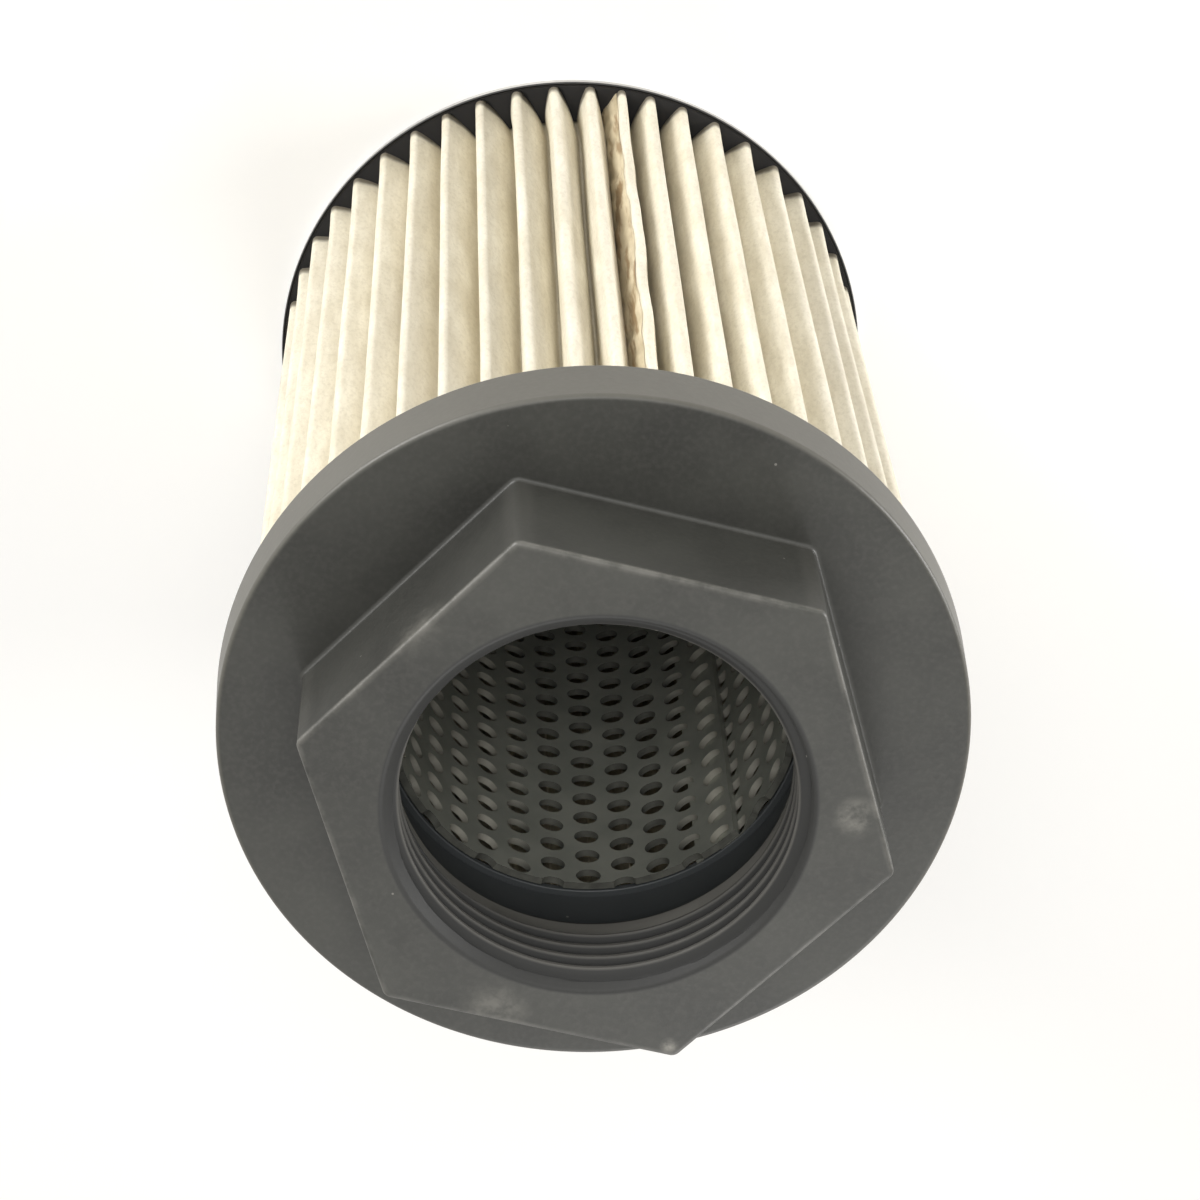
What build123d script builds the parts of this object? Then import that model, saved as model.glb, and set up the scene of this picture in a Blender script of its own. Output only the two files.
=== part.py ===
from build123d import *
import math
import os

# A pleated suction filter, standing on its end cap. Sizes are in millimetres.
# The origin is the centre of the end cap's underside, and +Z points up through
# the threaded head. The hexagon has two of its corners on the X axis.

# Head
flange_front_z = 113.5
flange_diameter = 88.0
flange_thickness = 7.8
flange_wall = 2.8
flange_edge_chamfer = 0.5
rim_wall = 1.9
hexagon_height = 15.5
hexagon_across_flats = 60.0
hexagon_corner_chamfer = 0.8
hexagon_edge_chamfer = 0.5
thread_minor_diameter = 44.84
mouth_chamfer = 1.8
thread_end_above_flange = 5.4
relief_diameter = 46.4
relief_end_above_flange = 2.4
collar_wall = 2.4

# End cap, pressed from sheet
cap_height = 1.4
cap_sheet = 0.5
cap_gap_to_tips = 0.1

# Perforated core tube, rolled from sheet, with its two edges lapped
tube_inner_diameter = 47.2
tube_sheet = 0.9
tube_clearance = 0.1
tube_end_below_flange = 6.2
tube_foot_gap = 0.2
tube_flats = 32
hole_width = 3.0
hole_sides = 4
hole_columns = 16
hole_edge_margin = 6.0
lap_width = 6.3
lap_angle = 140.0

# Folded mesh
pleat_count = 49
tip_gap_to_rim = 0.9
pleat_depth = 5.3
mesh_thickness = 0.5
tip_fold_radius = 0.5
valley_fold_radius = 0.5
seam_fold_radius = 0.35
outer_fold_steps = 2
inner_fold_steps = 1
seam_angle = 275.0
crowding_angle = 2.2
crowding_reach = 20.0
mesh_foot_gap = 0.2
mesh_head_gap = 0.7

# Bead of glue along the side seam of the mesh, as shares of the fold's flank
glue_thickness = 0.3
glue_start_share = 0.15
glue_end_share = 0.8

# Black resin that bonds the mesh and the tube into the head and the cap
resin_below_cap_rim = 0.1
resin_below_head_rim = 0.3

# Levels and radii worked out from the sizes above
hexagon_front_z = flange_front_z + hexagon_height
flange_back_z = flange_front_z - flange_thickness
cup_floor_z = flange_front_z - flange_wall
flange_radius = flange_diameter / 2
cup_radius = flange_radius - rim_wall
tube_inner_radius = tube_inner_diameter / 2
tube_outer_radius = tube_inner_radius + tube_sheet
lap_outer_radius = tube_outer_radius + tube_sheet
seat_radius = lap_outer_radius + tube_clearance
collar_radius = seat_radius + collar_wall
tube_bottom_z = cap_sheet + tube_foot_gap
tube_top_z = flange_front_z - tube_end_below_flange
mesh_bottom_z = cap_sheet + mesh_foot_gap
mesh_top_z = cup_floor_z - mesh_head_gap
lower_resin_top_z = cap_height - resin_below_cap_rim
upper_resin_bottom_z = flange_back_z + resin_below_head_rim
tip_radius = cup_radius - tip_gap_to_rim
valley_radius = tip_radius - pleat_depth
half_mesh = mesh_thickness / 2
cap_inner_radius = tip_radius + cap_gap_to_tips
cap_radius = cap_inner_radius + cap_sheet


def disc(radius, low_z, high_z):
    """A plain round plate between two levels."""
    plate = Cylinder(radius, high_z - low_z, align=(Align.CENTER, Align.CENTER, Align.MIN))
    return Pos(0, 0, low_z) * plate


def ring(outer_radius, inner_radius, low_z, high_z):
    """A plain ring around the axis between two levels."""
    return disc(outer_radius, low_z, high_z) - disc(inner_radius, low_z, high_z)


def turned(points):
    """A solid turned around the axis from a closed outline of (radius, height) points."""
    outline = Polyline(*[(radius, 0, height) for radius, height in points], close=True)
    return revolve(make_face(outline), Axis.Z)


def polar(radius, angle):
    """The flat point at a radius and an angle in radians."""
    return (radius * math.cos(angle), radius * math.sin(angle))


def moved(point, distance, angle):
    """A flat point moved by a distance in the direction of an angle in radians."""
    return (point[0] + distance * math.cos(angle), point[1] + distance * math.sin(angle))


def upright(points, low_z, high_z):
    """A straight prism on a closed flat outline, between two levels."""
    outline = make_face(Polyline(*points, close=True))
    return Pos(0, 0, low_z) * extrude(outline, high_z - low_z)


# Head: flange cup, hexagon, threaded mouth and tube collar in one moulding
def make_bore():
    """The space turned out of the head: mouth, thread, relief and tube seat."""
    thread_radius = thread_minor_diameter / 2
    thread_end_z = flange_front_z + thread_end_above_flange
    relief_radius = relief_diameter / 2
    relief_end_z = flange_front_z + relief_end_above_flange
    return turned(
        [
            (0, flange_back_z),
            (seat_radius, flange_back_z),
            (seat_radius, relief_end_z),
            (relief_radius, relief_end_z),
            (relief_radius, thread_end_z),
            (thread_radius, thread_end_z),
            (thread_radius, hexagon_front_z - mouth_chamfer),
            (thread_radius + mouth_chamfer, hexagon_front_z),
            (0, hexagon_front_z),
        ]
    )


def make_head():
    flange = disc(flange_radius, flange_back_z, flange_front_z)
    flange = chamfer(flange.edges().group_by(Axis.Z)[-1], flange_edge_chamfer)
    outline = RegularPolygon(hexagon_across_flats / 2, 6, major_radius=False)
    outline = chamfer(outline.vertices(), hexagon_corner_chamfer)
    hexagon = Pos(0, 0, cup_floor_z) * extrude(outline, hexagon_front_z - cup_floor_z)
    hexagon = chamfer(hexagon.edges().group_by(Axis.Z)[-1], hexagon_edge_chamfer)
    channel = ring(cup_radius, collar_radius, flange_back_z, cup_floor_z)
    return flange + hexagon - channel - make_bore()


# End cap: a shallow dish that the lower ends are bonded into
def make_end_cap():
    return disc(cap_radius, 0, cap_height) - disc(cap_inner_radius, cap_sheet, cap_height)


# Core tube: perforated sheet rolled to a tube, with staggered columns of holes
def punch(angle, height):
    """One hole's cutter, standing out through the sheet at an angle in degrees."""
    start = tube_inner_radius - tube_sheet
    length = lap_outer_radius + tube_sheet - start
    cutter = extrude(RegularPolygon(hole_width / 2, hole_sides), length)
    return Rot(0, 0, angle) * Pos(start, 0, height) * Rot(0, 90, 0) * cutter


def rolled(radius, low_z, high_z):
    """A prism of narrow flats, with its corners at the radius that the sheet is rolled to."""
    return Pos(0, 0, low_z) * extrude(RegularPolygon(radius, tube_flats), high_z - low_z)


def make_punches():
    half_flat = 180 / tube_flats
    column_angle = 360 / hole_columns
    column_spacing = math.radians(column_angle) * (tube_inner_radius + tube_outer_radius) / 2
    hole_pitch = column_spacing / math.sin(math.radians(60))
    low_z = lower_resin_top_z + hole_edge_margin
    high_z = flange_back_z - hole_edge_margin
    punches = []
    for column in range(hole_columns):
        height = low_z + (column % 2) * hole_pitch / 2
        while height <= high_z:
            punches.append(punch(half_flat + column * column_angle, height))
            height += hole_pitch
    return punches


def make_core_tube():
    bore = rolled(tube_inner_radius, tube_bottom_z, tube_top_z)
    half_lap = math.asin(lap_width / 2 / lap_outer_radius)
    middle = math.radians(lap_angle)
    reach = 2 * lap_outer_radius
    sector = [(0, 0), polar(reach, middle - half_lap), polar(reach, middle + half_lap)]
    lap = rolled(lap_outer_radius, tube_bottom_z, tube_top_z)
    lap = lap & upright(sector, tube_bottom_z, tube_top_z)
    return rolled(tube_outer_radius, tube_bottom_z, tube_top_z) + lap - bore - make_punches()


# Folded mesh: one strip folded round the tube, closed by a pinched seam fold
def pleat_angle(index):
    """The angle of a fold's tip in radians, the folds crowding towards the seam."""
    away = 360 * index / pleat_count
    if away > 180:
        away -= 360
    share = abs(away) / crowding_reach
    pull = crowding_angle * share * math.exp(1 - share)
    return math.radians(seam_angle + away - math.copysign(pull, away))


def tip_centre(index):
    """The centre and the middle radius of one tip's round fold."""
    fold = seam_fold_radius if index % pleat_count == 0 else tip_fold_radius
    return polar(tip_radius - half_mesh - fold, pleat_angle(index % pleat_count)), fold


def valley_centre(index):
    """The centre of the round fold between one tip and the next."""
    here = pleat_angle(index % pleat_count)
    after = pleat_angle((index + 1) % pleat_count)
    if after < here:
        after += 2 * math.pi
    return polar(valley_radius + valley_fold_radius - half_mesh, (here + after) / 2)


def flank_normal(index, side):
    """The outward direction of a tip's flank, on side +1 or -1, in radians."""
    tip, fold = tip_centre(index)
    valley = valley_centre(index if side > 0 else index - 1)
    across = (valley[0] - tip[0], valley[1] - tip[1])
    distance = math.hypot(*across)
    turn = math.acos((fold + valley_fold_radius) / distance)
    return math.atan2(across[1], across[0]) - side * turn


def round_fold(centre, radius, start, end, steps):
    """Points along a round fold from one direction to another, in radians."""
    return [moved(centre, radius, start + (end - start) * step / steps) for step in range(steps + 1)]


def mesh_outline(offset):
    """The closed outline of the folded strip, an offset outside its middle line."""
    tip_steps = outer_fold_steps if offset > 0 else inner_fold_steps
    valley_steps = inner_fold_steps if offset > 0 else outer_fold_steps
    points = []
    full = 2 * math.pi
    for index in range(pleat_count):
        tip, fold = tip_centre(index)
        before = flank_normal(index, -1)
        after = before + (flank_normal(index, 1) - before) % full
        points += round_fold(tip, fold + offset, before, after, tip_steps)
        start = after + math.pi
        end = start - (start - math.pi - flank_normal(index + 1, -1)) % full
        valley = valley_centre(index)
        points += round_fold(valley, valley_fold_radius - offset, start, end, valley_steps)
    return points


def make_pleated_mesh():
    outside = upright(mesh_outline(half_mesh), mesh_bottom_z, mesh_top_z)
    inside = upright(mesh_outline(-half_mesh), mesh_bottom_z, mesh_top_z)
    return outside - inside


# Glue: a bead along one flank of the seam fold
def make_seam_glue():
    tip, fold = tip_centre(0)
    normal = flank_normal(0, 1)
    start = moved(tip, fold + half_mesh, normal)
    end = moved(valley_centre(0), valley_fold_radius - half_mesh, normal + math.pi)

    def along(share):
        return tuple(a + (b - a) * share for a, b in zip(start, end))

    near = along(glue_start_share)
    far = along(glue_end_share)
    outline = [near, far, moved(far, glue_thickness, normal), moved(near, glue_thickness, normal)]
    return upright(outline, lower_resin_top_z, upper_resin_bottom_z)


# Resin: poured into the head's channel and the cap, round the ends it bonds
def make_upper_resin(mesh):
    return ring(cup_radius, collar_radius, upper_resin_bottom_z, cup_floor_z) - mesh


def make_lower_resin(mesh, tube):
    return disc(cap_inner_radius, cap_sheet, lower_resin_top_z) - mesh - tube


mesh = make_pleated_mesh()
tube = make_core_tube()
nodes = {
    "threaded_head": make_head(),
    "end_cap": make_end_cap(),
    "core_tube": tube,
    "pleated_mesh": mesh,
    "seam_glue": make_seam_glue(),
    "upper_resin": make_upper_resin(mesh),
    "lower_resin": make_lower_resin(mesh, tube),
}

os.makedirs("parts", exist_ok=True)
for name, node in nodes.items():
    export_step(node, f"parts/{name}.step")
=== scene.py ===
import math

import bmesh
import bpy
from mathutils import Matrix, Vector, noise


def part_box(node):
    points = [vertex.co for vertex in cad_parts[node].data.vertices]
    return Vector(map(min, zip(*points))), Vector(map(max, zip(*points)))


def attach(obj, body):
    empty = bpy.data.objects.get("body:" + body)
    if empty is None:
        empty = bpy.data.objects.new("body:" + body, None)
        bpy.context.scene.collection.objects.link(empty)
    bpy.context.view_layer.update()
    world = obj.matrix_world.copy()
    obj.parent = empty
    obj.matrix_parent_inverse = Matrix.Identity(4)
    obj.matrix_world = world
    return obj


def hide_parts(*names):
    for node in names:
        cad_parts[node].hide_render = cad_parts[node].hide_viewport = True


# A pleated suction filter, standing on its end cap with its threaded head up.
# Lengths are in metres, written in millimetres times mm. Angles are in radians, or in degrees
# where a name says so.

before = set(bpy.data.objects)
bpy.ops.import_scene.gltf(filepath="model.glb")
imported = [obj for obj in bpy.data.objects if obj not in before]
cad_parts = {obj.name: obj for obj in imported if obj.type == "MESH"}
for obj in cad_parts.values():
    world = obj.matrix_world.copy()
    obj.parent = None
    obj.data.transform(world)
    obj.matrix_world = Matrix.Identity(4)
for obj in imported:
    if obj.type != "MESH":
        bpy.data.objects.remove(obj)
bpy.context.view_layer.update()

mm = 0.001
full_turn = 2 * math.pi

head_low, head_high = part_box("threaded_head")
cap_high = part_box("end_cap")[1]
tube_low, tube_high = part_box("core_tube")
strip_low, strip_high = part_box("pleated_mesh")

# Head
hexagon_front = head_high.z
hexagon_height = 15.5 * mm
flange_front = hexagon_front - hexagon_height
flange_back = head_low.z
flange_radius = head_high.x
flange_draft = 0.4 * mm
flange_edge = 0.6 * mm
rim_wall = 1.9 * mm
cup_radius = flange_radius - rim_wall
cup_floor = flange_front - 2.8 * mm
hexagon_flat = 30.0 * mm
hexagon_corner = 1.2 * mm
hexagon_edge = 0.45 * mm
hexagon_edge_steps = 5
hexagon_foot = 0.5 * mm
hexagon_foot_steps = 4
mouth_radius = 24.2 * mm
mouth_edge = 0.15 * mm
thread_crest = 22.42 * mm
thread_root = 23.9 * mm
thread_pitch = 2.309 * mm
thread_crest_half = 0.19 * mm
thread_softness = 0.4
thread_end = flange_front + 5.4 * mm
thread_fade = 0.7 * mm
land_radius = 23.2 * mm
land_end = flange_front + 2.4 * mm
seat_radius = 25.5 * mm
seat_lip = 24.65 * mm
seat_lip_height = 0.9 * mm
collar_radius = 27.9 * mm
corner_steps = 10
flat_steps = 38
thread_step = 0.075 * mm
ease_steps = 5
support_gap = 0.12 * mm
corner_rub_start = 33.35 * mm
corner_rub_full = 34.1 * mm

# Marks on the head: where each is, how far it spreads and how strong it is
scuff_marks = [
    (Vector((-28.1, -6.2, 129.0)) * mm, 3.2 * mm, 0.6),
    (Vector((-16.2, 28.6, 128.6)) * mm, 1.4 * mm, 1.0),
    (Vector((27.1, -17.8, 129.0)) * mm, 6.0 * mm, 0.3),
    (Vector((31.0, -13.6, 128.6)) * mm, 3.0 * mm, 0.3),
    (Vector((4.5, 28.8, 128.9)) * mm, 5.0 * mm, 0.35),
]

# End cap
cap_radius = cap_high.x
cap_top = cap_high.z
cap_sheet = 0.5 * mm
cap_edge = 0.42 * mm
cap_pole = 0.5 * mm
cap_steps = 180

# Core tube, rolled from more columns of holes than make a full turn, so that it laps
tube_top = tube_high.z - 0.85 * mm
tube_radius = 23.6 * mm
tube_sheet = 0.9 * mm
hole_radius = 1.5 * mm
hole_sides = 24
hole_columns = 36
columns_in_turn = 34.55
hole_rise = 4.55 * mm
last_hole_below_end = 1.55 * mm
inner_edge_heading = math.radians(150.9)
shaded_heading = math.radians(109)
lap_gap = 0.05 * mm
lap_joggle = math.radians(8)

# Folded strip of wire mesh
pleat_count = 49
pleat_tip = 41.2 * mm
pleat_depth = 5.3 * mm
strip_thickness = 0.5 * mm
tip_fold = 0.5 * mm
valley_fold = 0.5 * mm
seam_fold = 0.35 * mm
flank_bow = 0.2 * mm
seam_angle = math.radians(275)
crowding_degrees = 2.2
crowding_reach_degrees = 20.0
tip_steps = 8
valley_steps = 6
flank_steps = 6
strip_levels = 38
tip_wave = 0.16 * mm
valley_wave = 0.3 * mm
seam_wave = 0.5 * mm
outward_wave = 0.25 * mm
inward_bias = 0.6
valley_lean = 0.7 * mm
tip_lean = 0.7 * mm
tip_lean_height = 90 * mm
leaning_pleats = 5
wave_fade = 9 * mm
tip_pace = 28
seam_pace = 75
valley_pace = 24
outward_pace = 20

# Glue along the seam fold
glue_levels = 150
glue_from = 0.04
glue_to = 1.0
glue_height = 0.38 * mm
glue_low = cap_top - 0.6 * mm
glue_high = flange_back + 0.5 * mm
glue_sides = 14
glue_base = 0.35
lump_pace = 260
lump_size = 0.9
ragged_pace = 190
ragged_size = 0.22


# Shader sums and nodes
class Value:
    """The output of a shader node, which sums can be written with."""

    def __init__(self, finish, socket):
        self.finish = finish
        self.socket = socket

    def sum(self, operation, *terms):
        return self.finish.node("ShaderNodeMath", {"operation": operation}, terms)

    def __add__(self, other):
        return self.sum("ADD", self, other)

    __radd__ = __add__

    def __sub__(self, other):
        return self.sum("SUBTRACT", self, other)

    def __rsub__(self, other):
        return self.sum("SUBTRACT", other, self)

    def __mul__(self, other):
        return self.sum("MULTIPLY", self, other)

    __rmul__ = __mul__

    def __pow__(self, other):
        return self.sum("POWER", self, other)

    def __abs__(self):
        return self.sum("ABSOLUTE", self)

    def most(self, other):
        return self.sum("MAXIMUM", self, other)

    def sine(self):
        return self.sum("SINE", self)

    def between(self, low, high):
        """0 up to low, 1 from high on, and a smooth rise between them."""
        settings = {"interpolation_type": "SMOOTHSTEP"}
        inputs = {"Value": self, "From Min": low, "From Max": high}
        return self.finish.node("ShaderNodeMapRange", settings, inputs)


class Finish:
    """A material in the making, with one method for every kind of node."""

    def __init__(self, name):
        self.material = bpy.data.materials.new(name)
        self.material.use_nodes = True
        self.tree = self.material.node_tree
        self.tree.nodes.clear()
        self.place = self.node("ShaderNodeTexCoord", output="Object")
        split = self.node("ShaderNodeSeparateXYZ", inputs=[self.place])
        self.x, self.y, self.z = [Value(self, socket) for socket in split.socket.node.outputs]

    def node(self, kind, settings=None, inputs=(), output=0):
        """Adds a node, sets it up, feeds it values or links, and returns one of its outputs."""
        made = self.tree.nodes.new(kind)
        for name, setting in (settings or {}).items():
            setattr(made, name, setting)
        pairs = inputs.items() if isinstance(inputs, dict) else enumerate(inputs)
        for name, given in pairs:
            if isinstance(given, Value):
                self.tree.links.new(given.socket, made.inputs[name])
            else:
                made.inputs[name].default_value = given
        return Value(self, made.outputs[output]) if made.outputs else None

    def noise(self, scale, detail, roughness, place=None):
        inputs = {"Vector": place or self.place, "Scale": scale, "Detail": detail}
        inputs["Roughness"] = roughness
        return self.node("ShaderNodeTexNoise", None, inputs)

    def stretched(self, x, y, z):
        """The place on the object, scaled along each axis."""
        inputs = {"Vector": self.place, "Scale": (x, y, z)}
        return self.node("ShaderNodeMapping", None, inputs)

    def specks(self, scale, size, rarity):
        """Small round spots, one in a few of the cells of a scattered pattern."""
        inputs = {"Vector": self.place, "Scale": scale}
        distance = self.node("ShaderNodeTexVoronoi", None, inputs)
        colour = self.node("ShaderNodeTexVoronoi", None, inputs, output="Color")
        chance = self.node("ShaderNodeSeparateXYZ", inputs=[colour])
        return (1 - distance.between(size * 0.6, size)) * chance.between(rarity, rarity + 0.01)

    def from_axis(self):
        return (self.x * self.x + self.y * self.y) ** 0.5

    def distance(self, point):
        settings = {"operation": "DISTANCE"}
        return self.node("ShaderNodeVectorMath", settings, [self.place, point], output="Value")

    def mix(self, share, first, second):
        """A colour between two others."""
        settings = {"data_type": "RGBA"}
        return self.node("ShaderNodeMix", settings, {0: share, 6: first, 7: second}, output=2)

    def bump(self, height, depth, strength, normal=None):
        inputs = {"Height": height, "Distance": depth, "Strength": strength}
        if normal:
            inputs["Normal"] = normal
        return self.node("ShaderNodeBump", None, inputs)

    def surface(self, **inputs):
        """Ends the material with its shader, and returns the material."""
        named = {name.replace("_", " ").title(): given for name, given in inputs.items()}
        if "Specular Ior Level" in named:
            named["Specular IOR Level"] = named.pop("Specular Ior Level")
        shader = self.node("ShaderNodeBsdfPrincipled", None, named)
        self.node("ShaderNodeOutputMaterial", None, [shader])
        return self.material


def tint(red, green, blue):
    """A colour as the eye sees it, from 0 to 255, as the light values that shaders need."""
    return (*[(part / 255) ** 2.2 for part in (red, green, blue)], 1.0)


# Materials
def charcoal_plastic():
    """Matt glass-filled plastic, rubbed pale along the edges of the hexagon."""
    finish = Finish("charcoal_plastic")
    slant = math.sqrt(3) / 2
    across = abs(finish.y).most(abs(finish.x * slant + finish.y * 0.5))
    across = across.most(abs(finish.x * slant - finish.y * 0.5))
    radius = finish.from_axis()
    above = finish.z.between(flange_front, flange_front + 0.4 * mm)

    # Distance from the front edge of the hexagon, and rubbing that comes and goes
    edge_out = across - (hexagon_flat - 0.1 * mm)
    edge_up = finish.z - (hexagon_front - 0.1 * mm)
    edge_distance = (edge_out * edge_out + edge_up * edge_up) ** 0.5
    patchy = finish.noise(260, 4, 0.6)
    rubbed = (1 - edge_distance.between(0.15 * mm, 0.75 * mm)) * patchy.between(0.3, 0.62)
    corner = radius.between(corner_rub_start, corner_rub_full) * above
    rubbed = rubbed.most(corner * 0.15)

    mottle = finish.noise(55, 5, 0.6)
    grain = finish.noise(1500, 2, 0.5)
    colour = finish.mix(mottle.between(0.3, 0.7), tint(50, 50, 46), tint(66, 66, 61))
    colour = finish.mix(grain.between(0.35, 0.8) * 0.3, colour, tint(82, 80, 76))
    # Painted highlight: the outer edge of the flange is lighter all round, standing in for the
    # light on the rim.
    rim = radius.between(flange_radius - 1.0 * mm, flange_radius - 0.5 * mm)
    colour = finish.mix(rim * 0.5, colour, tint(102, 99, 91))
    # Painted shade darkens the side faces of the hexagon, from the flange up to near its front
    # edge.
    sides = above * (1 - finish.z.between(hexagon_front - 0.9 * mm, hexagon_front - 0.5 * mm))
    colour = finish.mix(sides * 0.5, colour, tint(34, 34, 32))
    # Painted shade darkens the flange around the foot of the hexagon, fading out over 7 mm.
    foot_shade = (1 - across.between(hexagon_flat, hexagon_flat + 7 * mm)) * (1 - above)
    colour = finish.mix(foot_shade * 0.35, colour, tint(34, 34, 32))
    scuffs = 0
    for spot, reach, weight in scuff_marks:
        blurred = 1 - finish.distance(spot).between(reach * 0.2, reach)
        scuffs = (blurred * weight).most(scuffs) if scuffs else blurred * weight
    scuffs = scuffs * finish.noise(420, 4, 0.65).between(0.3, 0.7)
    colour = finish.mix(scuffs, colour, tint(150, 147, 138))
    colour = finish.mix(rubbed * 0.3, colour, tint(140, 137, 130))

    # Painted shade darkens the whole bore, chamfer and thread included, with painted light on the
    # land and seat.
    inside = 1 - radius.between(mouth_radius + 0.2 * mm, mouth_radius + 0.6 * mm)
    colour = finish.mix(inside * 0.8, colour, tint(30, 30, 29))
    # Painted light: the land is made lighter than the rest of the bore.
    land = finish.z.between(land_end + 0.2 * mm, land_end + 0.5 * mm)
    land = land * (1 - finish.z.between(thread_end - 0.2 * mm, thread_end + 0.6 * mm)) * inside
    colour = finish.mix(land * 0.9, colour, tint(128, 126, 120))
    # Painted light: the seat is made lighter than the rest of the bore.
    seat = 1 - finish.z.between(land_end, land_end + 0.2 * mm)
    seat = seat * (1 - radius.between(seat_radius, seat_radius + 0.2 * mm))
    colour = finish.mix(seat, colour, tint(70, 73, 74))
    # Painted highlight: the thread crests are made paler.
    crest = 1 - radius.between(thread_crest + 0.05 * mm, thread_crest + 0.35 * mm)
    crest_highlight = crest * finish.z.between(thread_end, thread_end + 1 * mm)
    colour = finish.mix(crest_highlight * 0.3, colour, tint(140, 137, 130))
    dust = finish.specks(300, 0.06, 0.86)
    colour = finish.mix(dust * 0.4, colour, tint(180, 176, 168))

    roughness = 0.38 + mottle * 0.14 + inside * 0.15
    normal = finish.bump(grain, 0.03 * mm, 0.5)
    normal = finish.bump(finish.noise(170, 4, 0.6), 0.06 * mm, 0.35, normal)
    return finish.surface(base_color=colour, roughness=roughness, normal=normal)


def plated_steel():
    """Pale grey plated sheet, dull in places, with resin smeared along its upper edge."""
    finish = Finish("plated_steel")
    mottle = finish.noise(70, 4, 0.6)
    cloudy = finish.noise(22, 3, 0.5)
    colour = finish.mix(mottle.between(0.3, 0.7), tint(188, 187, 183), tint(208, 207, 203))
    colour = finish.mix(cloudy.between(0.5, 0.75) * 0.4, colour, tint(140, 138, 131))
    smeared = finish.z.between(cap_top - 0.3 * mm, cap_top - 0.12 * mm)
    colour = finish.mix(smeared, colour, tint(52, 51, 50))
    normal = finish.bump(finish.noise(900, 2, 0.5), 0.02 * mm, 0.4)
    roughness = 0.3 + mottle * 0.18 + smeared * 0.2
    metallic = (1 - smeared) * 0.8
    return finish.surface(base_color=colour, metallic=metallic, roughness=roughness, normal=normal)


def dark_steel():
    """Dull olive-grey coated sheet of the perforated tube."""
    finish = Finish("dark_steel")
    mottle = finish.noise(120, 4, 0.6)
    drawn = finish.noise(900, 3, 0.5, finish.stretched(1, 1, 0.12))
    colour = finish.mix(mottle.between(0.3, 0.7), tint(158, 160, 150), tint(176, 177, 166))
    normal = finish.bump(drawn, 0.02 * mm, 0.4)
    roughness = 0.42 + mottle * 0.2
    return finish.surface(base_color=colour, metallic=0.3, roughness=roughness, normal=normal)


def punched_edge():
    """The walls of the holes and the ends of the tube, with painted shade on one side and at the
    top.
    """
    finish = Finish("punched_edge")
    mottle = finish.noise(400, 3, 0.6)
    colour = finish.mix(mottle.between(0.3, 0.7), tint(88, 88, 82), tint(108, 108, 100))
    # Painted shade: the walls towards the shaded heading and near the top of the tube stay dark,
    # the rest are paler.
    towards = finish.x * math.cos(shaded_heading) + finish.y * math.sin(shaded_heading)
    unshaded = 1 - towards.between(0.86 * tube_radius, 0.97 * tube_radius)
    unshaded = unshaded * (1 - finish.z.between(tube_top - 1.3 * mm, tube_top - 0.8 * mm))
    colour = finish.mix(unshaded, colour, tint(172, 169, 157))
    return finish.surface(base_color=colour, metallic=0.2, roughness=0.5 + mottle * 0.2)


def woven_wire():
    """Fine cream-grey woven wire, mottled, with painted shade in its valleys and at both ends,
    where the resin also wets it.
    """
    finish = Finish("woven_wire")
    flat = finish.node("ShaderNodeUVMap", {"uv_map": "strip"})
    split = finish.node("ShaderNodeSeparateXYZ", inputs=[flat])
    along, up = [Value(finish, socket) for socket in list(split.socket.node.outputs)[:2]]
    wire_pitch = 0.32 * mm
    warp = (along * (full_turn / wire_pitch)).sine()
    weft = (up * (full_turn / wire_pitch)).sine()
    weave = (warp * weft + 1) * 0.5
    cloudy = finish.noise(420, 5, 0.62, finish.stretched(1, 1, 0.2))
    blotches = finish.noise(60, 3, 0.5, finish.stretched(1, 1, 0.4))
    colour = finish.mix(cloudy.between(0.3, 0.72), tint(218, 210, 189), tint(240, 234, 216))
    colour = finish.mix(blotches.between(0.45, 0.75) * 0.3, colour, tint(214, 208, 196))
    colour = finish.mix(weave * 0.16, colour, tint(176, 163, 132))
    grain = finish.noise(1900, 3, 0.7, finish.stretched(1, 1, 0.5))
    colour = finish.mix(grain.between(0.42, 0.7) * 0.24, colour, tint(168, 158, 134))
    radius = finish.from_axis()
    valley = pleat_tip - pleat_depth
    # Painted shade darkens the strip towards the bottoms of the valleys.
    valley_shade = 1 - radius.between(valley, valley + 3 * mm)
    colour = finish.mix(valley_shade * 0.45, colour, tint(146, 134, 106))
    # Darker towards both ends: partly wetting by the resin the strip enters, partly painted shade.
    ragged = finish.z + (finish.noise(320, 3, 0.6) - 0.5) * (1.6 * mm)
    climb = radius.between(pleat_tip - 4.5 * mm, pleat_tip - 0.8 * mm) * (1.2 * mm)
    near_cap = 1 - (ragged - climb).between(cap_top - 0.5 * mm, cap_top + 1.3 * mm)
    near_head = ragged.between(flange_back - 2.2 * mm, flange_back + 0.4 * mm)
    colour = finish.mix(near_cap.most(near_head) * 0.85, colour, tint(84, 76, 62))
    normal = finish.bump(weave, 0.05 * mm, 0.5)
    normal = finish.bump(finish.noise(600, 3, 0.6), 0.05 * mm, 0.4, normal)
    return finish.surface(base_color=colour, metallic=0.15, roughness=0.55, normal=normal)


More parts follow.
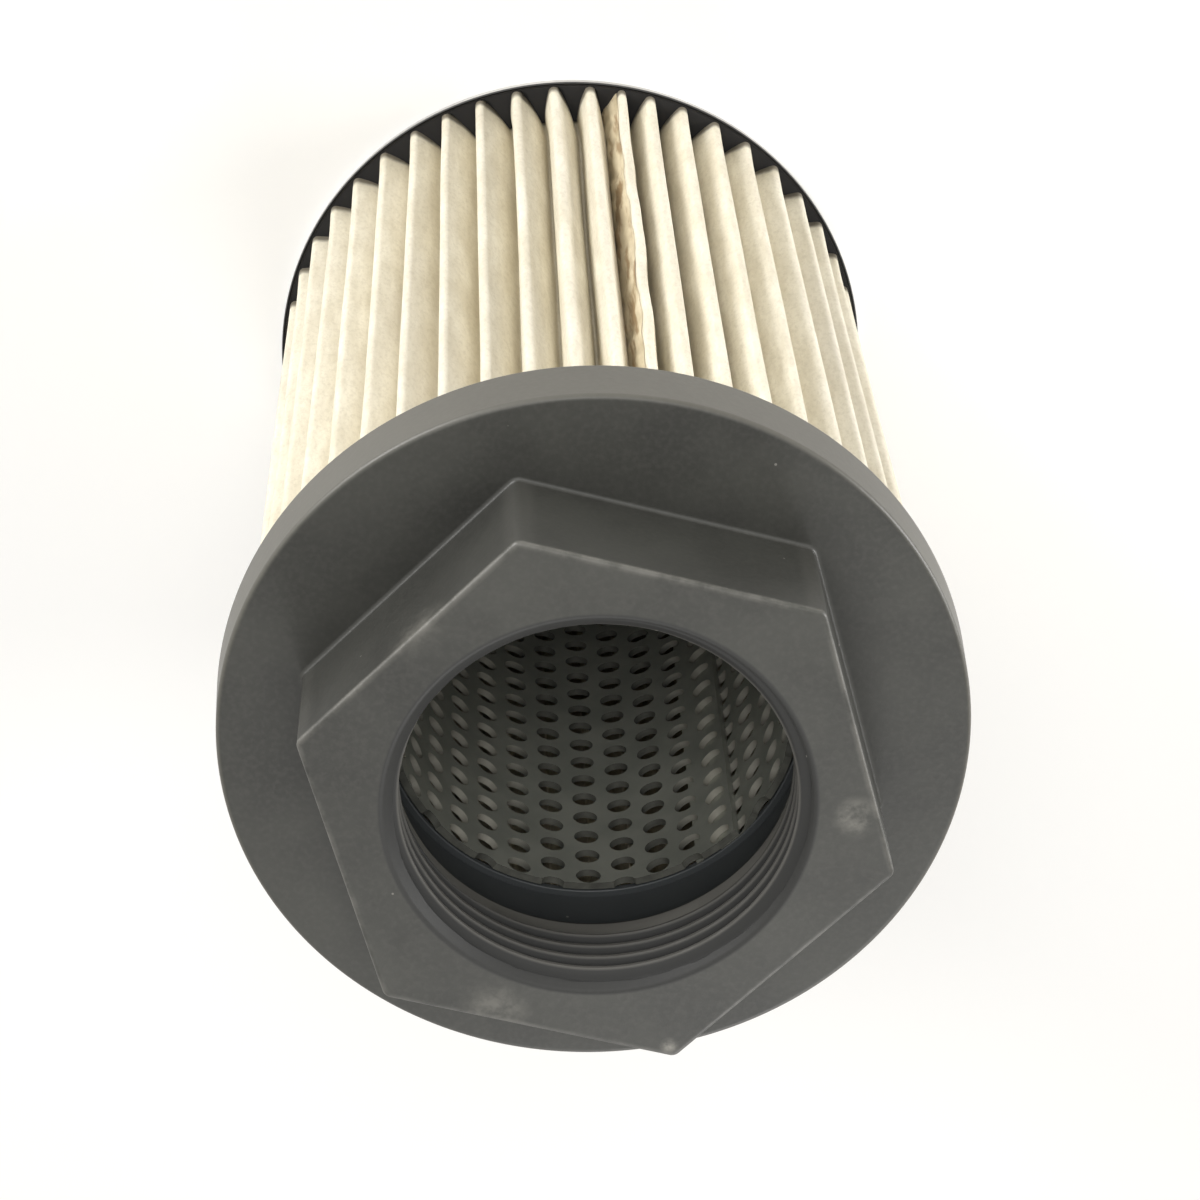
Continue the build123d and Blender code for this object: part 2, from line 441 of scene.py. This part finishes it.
def tan_glue():
    """Hard, cloudy tan glue with dark brown streaks running down it."""
    finish = Finish("tan_glue")
    cloudy = finish.noise(420, 5, 0.65, finish.stretched(1, 1, 0.35))
    streak = finish.noise(520, 4, 0.6, finish.stretched(1, 1, 0.12))
    colour = finish.mix(cloudy.between(0.3, 0.7), tint(176, 162, 133), tint(202, 189, 160))
    colour = finish.mix(streak.between(0.52, 0.64) * 0.8, colour, tint(122, 94, 58))
    normal = finish.bump(cloudy, 0.15 * mm, 0.8)
    return finish.surface(base_color=colour, roughness=0.38 + cloudy * 0.2, normal=normal)


def black_resin():
    """Poured resin, near black and slightly uneven, with a soft gloss."""
    finish = Finish("black_resin")
    mottle = finish.noise(60, 3, 0.5)
    colour = finish.mix(mottle, tint(30, 30, 31), tint(44, 43, 43))
    normal = finish.bump(finish.noise(140, 4, 0.55), 0.2 * mm, 0.4)
    roughness = 0.5 + mottle * 0.15
    return finish.surface(
        base_color=colour, roughness=roughness, specular_ior_level=0.3, normal=normal
    )


def pale_floor():
    """White board, lifted to white for the eye and for reflections, with the filter's shadow."""
    finish = Finish("pale_floor")
    path = finish.node("ShaderNodeLightPath", output="Is Camera Ray")
    outputs = path.socket.node.outputs
    seen = path.most(Value(finish, outputs["Is Glossy Ray"]))
    seen = seen.most(Value(finish, outputs["Is Transmission Ray"]))
    board = finish.node("ShaderNodeBsdfDiffuse", None, {"Color": (0.72, 0.71, 0.69, 1)})
    lift = 0.28 + finish.from_axis().between(0.2, 1.3) * 0.56
    inputs = {"Color": (1, 0.995, 0.98, 1), "Strength": seen * lift}
    glow = finish.node("ShaderNodeEmission", None, inputs)
    both = finish.node("ShaderNodeAddShader", None, [board, glow])
    finish.node("ShaderNodeOutputMaterial", None, [both])
    return finish.material


# Mesh helpers
def clamped(share):
    return min(max(share, 0.0), 1.0)


def smooth(share):
    """Rises from 0 to 1 as the share does, with a soft start and end."""
    share = clamped(share)
    return share * share * (3 - 2 * share)


def around_axis(radius, heading, height):
    return Vector((radius * math.cos(heading), radius * math.sin(heading), height))


def wrapped_grid(bm, columns, rows, place):
    """A grid of faces with its corners where place(column, row) says, its side edges joined."""
    made = bmesh.ops.create_grid(bm, x_segments=columns, y_segments=rows, size=1, calc_uvs=True)
    for index, vertex in enumerate(made["verts"]):
        row, column = divmod(index, columns + 1)
        vertex.co = place(column % columns, row)
    bmesh.ops.remove_doubles(bm, verts=made["verts"], dist=0.0001 * mm)


def add_piece(name, bm, material, node, sharp=math.radians(32)):
    """Turns a finished bmesh into a piece that stands for a node of the frame."""
    bmesh.ops.recalc_face_normals(bm, faces=bm.faces)
    for face in bm.faces:
        face.smooth = True
    for edge in bm.edges:
        edge.smooth = edge.calc_face_angle(0) < sharp
    mesh = bpy.data.meshes.new(name)
    bm.to_mesh(mesh)
    bm.free()
    mesh.materials.append(material)
    piece = bpy.data.objects.new(name, mesh)
    bpy.context.collection.objects.link(piece)
    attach(piece, "root")
    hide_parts(node)
    return piece


def eased(corners):
    """A path through (radius, height, easing) corners, with each corner rounded by its easing."""
    path = []
    for index, (radius, height, easing) in enumerate(corners):
        here = Vector((radius, height))
        if not easing:
            path.append(here)
            continue
        before = (Vector(corners[index - 1][:2]) - here).normalized()
        after = (Vector(corners[(index + 1) % len(corners)][:2]) - here).normalized()
        half = before.angle(after) / 2
        centre = here + (before + after).normalized() * easing / math.sin(half)
        start = here + before * easing / math.tan(half) - centre
        end = here + after * easing / math.tan(half) - centre
        path.append(centre + start + before * support_gap)
        for step in range(ease_steps + 1):
            turned = start.slerp(end, step / ease_steps).normalized()
            path.append(centre + turned * easing)
        path.append(centre + end + after * support_gap)
    return path


# Head
def hexagon_ring(inset, height):
    """Points round the hexagon, drawn in by an inset, closer together at the round corners."""
    centre_reach = (hexagon_flat - hexagon_corner) / math.cos(math.radians(30))
    points = []
    for corner in range(6):
        middle = math.radians(60 * corner)
        centre = around_axis(centre_reach, middle, height)
        for step in range(corner_steps + 1):
            turn = middle + math.radians(60) * (step / corner_steps - 0.5)
            points.append(centre + around_axis(hexagon_corner - inset, turn, 0))
        last = points[-1]
        following = middle + math.radians(60)
        centre = around_axis(centre_reach, following, height)
        first = centre + around_axis(hexagon_corner - inset, following - math.radians(30), 0)
        points += [last.lerp(first, step / flat_steps) for step in range(1, flat_steps)]
    return points


def round_ring(radius, height, headings):
    return [around_axis(radius, turn, height) for turn in headings]


def thread_radius(heading, height):
    """How far the wall of the mouth is from the axis, with its right-hand thread."""
    turns = (height - thread_end) / thread_pitch - heading / full_turn
    from_crest = abs(turns - round(turns)) * thread_pitch
    flank = (from_crest - thread_crest_half) / (thread_pitch / 2 - 2 * thread_crest_half)
    share = (1 - thread_softness) * clamped(flank) + thread_softness * smooth(flank)
    radius = thread_crest + (thread_root - thread_crest) * share
    start = clamped((height - thread_end) / thread_fade)
    radius = land_radius + (radius - land_radius) * start
    lead_in = mouth_radius - (hexagon_front - height)
    return max(radius, lead_in)


def make_head(material):
    outline = hexagon_ring(0, 0)
    headings = [math.atan2(point.y, point.x) for point in outline]
    outside = eased(
        [
            (seat_radius, land_end, 0),
            (seat_radius, flange_back + seat_lip_height, 0),
            (seat_lip, flange_back + seat_lip_height, 0.2 * mm),
            (seat_lip, flange_back, 0.2 * mm),
            (collar_radius, flange_back, 0.3 * mm),
            (collar_radius, cup_floor, 0),
            (cup_radius, cup_floor, 0),
            (cup_radius, flange_back, 0.3 * mm),
            (flange_radius, flange_back, 0.5 * mm),
            (flange_radius - flange_draft, flange_front, flange_edge),
            (flange_radius / 2, flange_front, 0),
        ]
    )
    rings = [round_ring(radius, height, headings) for radius, height in outside[:-1]]
    rings.append(hexagon_ring(-hexagon_foot - support_gap, flange_front))
    for step in range(hexagon_foot_steps + 1):
        turn = math.radians(90 * step / hexagon_foot_steps)
        inset = -hexagon_foot * (1 - math.sin(turn))
        rings.append(hexagon_ring(inset, flange_front + hexagon_foot * (1 - math.cos(turn))))
    rings.append(hexagon_ring(0, hexagon_front - hexagon_edge - support_gap))
    for step in range(hexagon_edge_steps + 1):
        turn = math.radians(90 * step / hexagon_edge_steps)
        inset = hexagon_edge * (1 - math.cos(turn))
        rings.append(hexagon_ring(inset, hexagon_front - hexagon_edge * (1 - math.sin(turn))))
    rings.append(hexagon_ring(hexagon_edge + support_gap, hexagon_front))
    rings.append(round_ring(mouth_radius + mouth_edge + support_gap, hexagon_front, headings))
    rings.append(round_ring(mouth_radius + mouth_edge, hexagon_front, headings))
    thread_height = hexagon_front - mouth_edge - thread_end
    levels = round(thread_height / thread_step)
    for level in range(levels + 1):
        height = hexagon_front - mouth_edge - level * thread_height / levels
        rings.append([around_axis(thread_radius(turn, height), turn, height) for turn in headings])
    inside = eased(
        [
            (land_radius, thread_end, 0),
            (land_radius, land_end, 0.2 * mm),
            (seat_radius, land_end, 0),
        ]
    )
    rings += [round_ring(radius, height, headings) for radius, height in inside[1:]]
    bm = bmesh.new()
    wrapped_grid(bm, len(headings), len(rings) - 1, lambda column, row: rings[row][column])
    return add_piece("threaded_head_moulding", bm, material, "threaded_head")


# End cap
def make_cap(material):
    profile = eased(
        [
            (cap_pole, 0, 0),
            (cap_radius, 0, cap_edge),
            (cap_radius, cap_top, 0.2 * mm),
            (cap_radius - cap_sheet, cap_top, 0.2 * mm),
            (cap_radius - cap_sheet, cap_sheet, 0),
            (cap_pole, cap_sheet, 0),
        ]
    )
    bm = bmesh.new()
    points = [bm.verts.new((radius, 0, height)) for radius, height in profile]
    profile_parts = points + [bm.edges.new(pair) for pair in zip(points, points[1:])]
    bmesh.ops.spin(
        bm, geom=profile_parts, axis=(0, 0, 1), angle=full_turn, steps=cap_steps, use_merge=True
    )
    open_edges = [edge for edge in bm.edges if edge.is_boundary]
    for height in (0, cap_sheet):
        rim = [edge for edge in open_edges if abs(edge.verts[0].co.z - height) < 0.01 * mm]
        bmesh.ops.holes_fill(bm, edges=rim, sides=0)
    return add_piece("end_cap_dish", bm, material, "end_cap")


# Core tube
def make_tube(material, edge_material):
    """A flat perforated sheet, built hole by hole, cut to length and rolled up with a lap."""
    column_angle = full_turn / columns_in_turn
    tile_width = column_angle * tube_radius
    bm = bmesh.new()
    bmesh.ops.create_circle(bm, segments=hole_sides, radius=hole_radius)

    # A second ring of as many points, moved out to the straight edges of the hole's tile
    frame_ring = bmesh.ops.create_circle(bm, segments=hole_sides, radius=1)["verts"]
    for vertex in frame_ring:
        turn = math.atan2(vertex.co.y, vertex.co.x) / (full_turn / 4) + 0.5
        quarter = math.floor(turn + 1e-6)
        along = (turn - quarter) - 0.5
        corner = Vector((0.5, along, 0))
        corner.rotate(Matrix.Rotation(quarter * full_turn / 4, 3, "Z"))
        vertex.co = Vector((corner.x * tile_width, corner.y * hole_rise, 0))
    bmesh.ops.bridge_loops(bm, edges=bm.edges[:])
    tile = bm.verts[:] + bm.edges[:] + bm.faces[:]
    height = tube_top - tube_low.z
    last_row = math.ceil((height - last_hole_below_end) / hole_rise)
    rows = last_row + 2
    for column in range(hole_columns):
        for row in range(rows):
            if column == 0 and row == 0:
                continue
            copy = bmesh.ops.duplicate(bm, geom=tile)["geom"]
            rise = (row + (column % 2) / 2) * hole_rise
            moved = [part for part in copy if isinstance(part, bmesh.types.BMVert)]
            bmesh.ops.translate(bm, verts=moved, vec=(column * tile_width, rise, 0))
    bmesh.ops.remove_doubles(bm, verts=bm.verts, dist=0.01 * mm)
    cut_low = last_row * hole_rise + last_hole_below_end - height
    for level, outward in ((cut_low, -1), (cut_low + height, 1)):
        bmesh.ops.bisect_plane(
            bm,
            geom=bm.verts[:] + bm.edges[:] + bm.faces[:],
            dist=0.001 * mm,
            plane_co=(0, level, 0),
            plane_no=(0, outward, 0),
            clear_outer=True,
        )
    bmesh.ops.recalc_face_normals(bm, faces=bm.faces)
    bmesh.ops.solidify(bm, geom=bm.faces[:], thickness=tube_sheet)
    bm.normal_update()
    first = -tile_width / 2
    last = (hole_columns - 0.5) * tile_width
    for face in bm.faces:
        along = face.calc_center_median().x
        is_wall = abs(face.normal.z) < 0.5
        is_lap = min(along - first, last - along) < 0.01 * mm
        face.material_index = 1 if is_wall and not is_lap else 0
    depth = min(vertex.co.z for vertex in bm.verts)
    for vertex in bm.verts:
        along = vertex.co.x / tile_width + 0.5
        heading = along * column_angle
        climb = smooth((heading - (full_turn - lap_joggle)) / lap_joggle)
        radius = tube_radius + (vertex.co.z - depth) + climb * (tube_sheet + lap_gap)
        turn = inner_edge_heading - heading
        rise = tube_low.z + vertex.co.y - cut_low
        vertex.co = (radius * math.cos(turn), radius * math.sin(turn), rise)
    tube = add_piece("perforated_tube", bm, material, "core_tube")
    tube.data.materials.append(edge_material)
    return tube


# Folded strip of mesh
def pleat_heading(index):
    """The direction of a fold's tip, the folds crowding towards the seam."""
    away = 360 * index / pleat_count
    if away > 180:
        away -= 360
    share = abs(away) / crowding_reach_degrees
    pull = crowding_degrees * share * math.exp(1 - share)
    return seam_angle + math.radians(away - math.copysign(pull, away))


def flat_step(reach, heading):
    """A step on the flat, as long as the reach, towards the heading."""
    return Vector((reach * math.cos(heading), reach * math.sin(heading)))


def tip_of(index):
    fold = seam_fold if index % pleat_count == 0 else tip_fold
    reach = pleat_tip - strip_thickness / 2 - fold
    return flat_step(reach, pleat_heading(index % pleat_count)), fold


def valley_of(index):
    here = pleat_heading(index % pleat_count)
    after = pleat_heading((index + 1) % pleat_count)
    if after < here:
        after += full_turn
    reach = pleat_tip - pleat_depth + valley_fold - strip_thickness / 2
    return flat_step(reach, (here + after) / 2)


def flank_heading(index, side):
    """The direction that a tip's flank faces, on side +1 or -1."""
    tip, fold = tip_of(index)
    across = valley_of(index if side > 0 else index - 1) - tip
    lean = math.acos((fold + valley_fold) / across.length)
    return math.atan2(across.y, across.x) - side * lean


def flank(start, end, facing, index, tip_share):
    """Points between two folds, bowed a little towards the side that the flank faces."""
    points = []
    for step in range(1, flank_steps):
        share = step / flank_steps
        bow = flat_step(flank_bow * 4 * share * (1 - share), facing)
        points.append((start.lerp(end, share) + bow, index, abs(tip_share - share)))
    return points


def fold_line(offset):
    """Points round the folded strip, an offset outside its middle, as (point, pleat, tip share)."""
    line = []
    for index in range(pleat_count):
        tip, fold = tip_of(index)
        before = flank_heading(index, -1)
        after = before + (flank_heading(index, 1) - before) % full_turn
        for step in range(tip_steps + 1):
            turn = before + (after - before) * step / tip_steps
            line.append((tip + flat_step(fold + offset, turn), index, 1.0))
        tip_end = line[-1][0]
        valley = valley_of(index)
        start = after + math.pi
        end = start - (after - flank_heading(index + 1, -1)) % full_turn
        bottom = []
        for step in range(valley_steps + 1):
            turn = start + (end - start) * step / valley_steps
            bottom.append(valley + flat_step(valley_fold - offset, turn))
        line += flank(tip_end, bottom[0], after, index, 1.0)
        line += [(point, index, 0.0) for point in bottom]
        following, fold = tip_of(index + 1)
        tip_start = following + flat_step(fold + offset, flank_heading(index + 1, -1))
        line += flank(bottom[-1], tip_start, flank_heading(index + 1, -1), index + 1, 0.0)
    return line


def wander(lane, height, pace, start):
    """A smooth chance value from -1 to 1 that changes with the height."""
    return noise.noise(Vector((lane, height * pace, start)))


def sway(index, tip_share, height):
    """How far the strip wanders sideways and outwards at a fold and a height."""
    index = index % pleat_count
    fade = clamped(min(height - strip_low.z, strip_high.z - height) / wave_fade)
    tip_amount = seam_wave if index == 0 else tip_wave
    pace = seam_pace if index == 0 else tip_pace
    sideways = wander(index * 3.7, height, pace, 0.5) * tip_amount * tip_share
    sideways += wander(index * 3.7, height, valley_pace, 9.5) * valley_wave * (1 - tip_share)
    outwards = wander(index * 5.3, height, outward_pace, 4.5) - inward_bias
    outwards = outwards * outward_wave * tip_share
    lean = 0.0
    if 0 < index <= leaning_pleats:
        near = math.sin(math.pi * index / (leaning_pleats + 1))
        lean = near * tip_lean * tip_share * max(1 - height / tip_lean_height, 0.0)
        sideways -= near * valley_lean * (1 - tip_share)
    return sideways * fade + lean, outwards * fade


def swayed(point, index, tip_share, height):
    out = point.normalized()
    aside = Vector((-out.y, out.x))
    sideways, outwards = sway(index, tip_share, height)
    moved = point + aside * sideways + out * outwards
    return Vector((moved.x, moved.y, height))


def make_strip(material):
    outer = fold_line(strip_thickness / 2)
    inner = fold_line(-strip_thickness / 2)
    height = strip_high.z - strip_low.z
    heights = [strip_low.z + height * level / strip_levels for level in range(strip_levels + 1)]
    rings = [(outer, level) for level in heights]
    rings += [(inner, level) for level in reversed(heights)]
    rings.append((outer, heights[0]))
    lengths = [0.0]
    for here, after in zip(outer, outer[1:] + outer[:1]):
        lengths.append(lengths[-1] + (after[0] - here[0]).length)

    def place(column, row):
        line, level = rings[row]
        point, index, tip_share = line[column]
        return swayed(point, index, tip_share, level)

    bm = bmesh.new()
    flat = bm.loops.layers.uv.new("strip")
    wrapped_grid(bm, len(outer), len(rings) - 1, place)
    for face in bm.faces:
        for loop in face.loops:
            column = round(loop[flat].uv.x * len(outer))
            loop[flat].uv = (lengths[column], loop.vert.co.z)
    return add_piece("folded_mesh_strip", bm, material, "pleated_mesh", math.radians(50))


# Glue bead
def make_glue(material):
    """A lumpy bead on the seam fold's flank, wandering with the fold."""
    tip, fold = tip_of(0)
    facing = flank_heading(0, 1)
    out = flat_step(1, facing)
    start = tip + out * (fold + strip_thickness / 2)
    end = valley_of(0) - out * (valley_fold - strip_thickness / 2)
    middle = (glue_from + glue_to) / 2

    def place(column, row):
        height = glue_low + (glue_high - glue_low) * row / glue_levels
        turn = full_turn * column / glue_sides
        lump = wander(column * 0.6, height, lump_pace, 2.0)
        ragged = wander(5.0 if math.cos(turn) > 0 else 15.0, height, ragged_pace, 7.0)
        share = middle + (glue_to - glue_from) / 2 * math.cos(turn) * (1 + ragged_size * ragged)
        lift = glue_height * (glue_base + (1 - glue_base) * math.sin(turn))
        lift *= 1 + lump_size * lump
        lift *= 0.7 + 1.6 * share
        point = start.lerp(end, share) + out * lift
        return swayed(point, 0, 1 - share, height)

    bm = bmesh.new()
    wrapped_grid(bm, glue_sides, glue_levels, place)
    rim = [edge for edge in bm.edges if edge.is_boundary]
    bmesh.ops.holes_fill(bm, edges=rim, sides=0)
    return add_piece("seam_glue_bead", bm, material, "seam_glue", math.radians(60))


# Stage, light and camera
def make_floor():
    bm = bmesh.new()
    bmesh.ops.create_circle(bm, cap_ends=True, segments=64, radius=3)
    mesh = bpy.data.meshes.new("floor")
    bm.to_mesh(mesh)
    bm.free()
    mesh.materials.append(pale_floor())
    floor = bpy.data.objects.new("floor", mesh)
    bpy.context.collection.objects.link(floor)


def add_lamp(name, place, aim, size, power):
    lamp = bpy.data.lights.new(name, "AREA")
    lamp.shape = "DISK"
    lamp.size = size
    lamp.energy = power
    holder = bpy.data.objects.new(name, lamp)
    holder.location = place
    holder.rotation_euler = (Vector(aim) - Vector(place)).to_track_quat("-Z", "Y").to_euler()
    bpy.context.collection.objects.link(holder)


def make_light():
    """A room that looks white but gives only a little light, and four soft lamps."""
    room_light = 0.26
    world = bpy.data.worlds.new("soft_room")
    bpy.context.scene.world = world
    world.use_nodes = True
    nodes = world.node_tree.nodes
    links = world.node_tree.links
    nodes.clear()
    room = nodes.new("ShaderNodeBackground")
    room.inputs["Color"].default_value = (1, 0.99, 0.97, 1)
    path = nodes.new("ShaderNodeLightPath")
    either = nodes.new("ShaderNodeMath")
    either.operation = "MAXIMUM"
    links.new(path.outputs["Is Camera Ray"], either.inputs[0])
    links.new(path.outputs["Is Glossy Ray"], either.inputs[1])
    level = nodes.new("ShaderNodeMapRange")
    level.inputs["To Min"].default_value = room_light
    level.inputs["To Max"].default_value = 1.0
    links.new(either.outputs[0], level.inputs["Value"])
    links.new(level.outputs[0], room.inputs["Strength"])
    output = nodes.new("ShaderNodeOutputWorld")
    links.new(room.outputs[0], output.inputs[0])
    centre = (0, 0, 0.06)
    add_lamp("left", (0.78, -0.45, 0.22), centre, size=0.4, power=8.3)
    add_lamp("right", (-0.8, -0.37, 0.22), centre, size=0.4, power=7.0)
    add_lamp("window", (-0.42, 0.72, 0.66), centre, size=0.5, power=4.1)
    add_lamp("front", (0.17, -0.48, 0.92), centre, size=0.5, power=3.3)


def make_camera():
    """The photograph's view: where the camera aims, how far off it is, and its roll."""
    aim = Vector((4.26, -17.88, 113.5)) * mm
    distance = 379.2 * mm
    azimuth = math.radians(-71.13)
    elevation = math.radians(62.66)
    roll = math.radians(-175.96)
    back = around_axis(math.cos(elevation), azimuth, math.sin(elevation))
    side = Vector((0, 0, 1)).cross(back).normalized()
    upright = back.cross(side)
    up = Matrix.Rotation(roll, 3, -back) @ upright
    right = up.cross(back)
    camera = bpy.data.cameras.new("camera")
    camera.lens = 100.73
    camera.sensor_width = 36
    camera.clip_start = 0.01
    holder = bpy.data.objects.new("camera", camera)
    turn = Matrix((right, up, back)).transposed()
    holder.matrix_world = Matrix.Translation(aim + back * distance) @ turn.to_4x4()
    bpy.context.collection.objects.link(holder)
    bpy.context.scene.camera = holder


make_head(charcoal_plastic())
make_cap(plated_steel())
make_tube(dark_steel(), punched_edge())
make_strip(woven_wire())
make_glue(tan_glue())
resin = black_resin()
for name in ("upper_resin", "lower_resin"):
    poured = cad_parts[name]
    for slot in poured.material_slots:
        slot.material = resin

make_floor()
make_light()
make_camera()
bpy.context.scene.view_settings.view_transform = "Standard"
